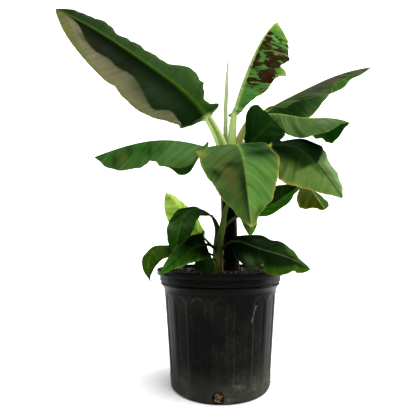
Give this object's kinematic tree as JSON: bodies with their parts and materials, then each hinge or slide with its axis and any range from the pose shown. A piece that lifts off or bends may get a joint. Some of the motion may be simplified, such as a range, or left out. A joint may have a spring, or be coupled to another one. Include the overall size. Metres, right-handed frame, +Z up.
{
  "type": "potted banana plant",
  "caption": "Young banana plant with a dark main stem, a sucker beside it and broad arching leaves, in a fluted black nursery pot filled with soil.",
  "frame": {"origin": "centre of the pot's flat underside", "axes": "+Z up, -Y towards the front of the plant, +X to its right"},
  "size_m": [0.9098, 0.4756, 1.0147],
  "materials": {
    "black_plastic": "fluted black nursery plastic, slightly dusty",
    "potting_soil": "dark moist potting mix with pale grains",
    "purple_sheath": "smooth dark purple leaf sheaths",
    "olive_sheath": "olive and tan leaf sheaths",
    "rolled_leaf": "pale rolled new leaf",
    "leaf_green": "waxy green leaf",
    "leaf_deep_green": "waxy deep green leaf",
    "leaf_light_green": "waxy light green leaf",
    "leaf_blotched": "green leaf with dark maroon blotches",
    "leaf_young_yellow": "thin young yellow-green leaf"
  },
  "bodies": {
    "root": {"pot": "black_plastic", "soil": "potting_soil", "main_stem": "purple_sheath", "sucker_stem": "olive_sheath", "spear_leaf": "rolled_leaf", "leaf_tall_left": "leaf_green", "leaf_blotched": "leaf_blotched", "leaf_right_high": "leaf_green", "leaf_right_middle": "leaf_green", "leaf_right_dark": "leaf_deep_green", "leaf_front_hanging": "leaf_light_green", "leaf_right_front": "leaf_green", "leaf_left_level": "leaf_green", "leaf_tattered": "leaf_green", "leaf_back_right": "leaf_green", "leaf_back_left": "leaf_green", "sucker_leaf_arching": "leaf_deep_green", "sucker_leaf_young": "leaf_young_yellow", "sucker_leaf_far_left": "leaf_green", "sucker_leaf_front_left": "leaf_light_green", "sucker_leaf_low": "leaf_deep_green", "sucker_leaf_front_right": "leaf_deep_green", "sucker_leaf_right": "leaf_light_green", "sucker_leaf_hanging": "leaf_green"}
  },
  "joints": []
}
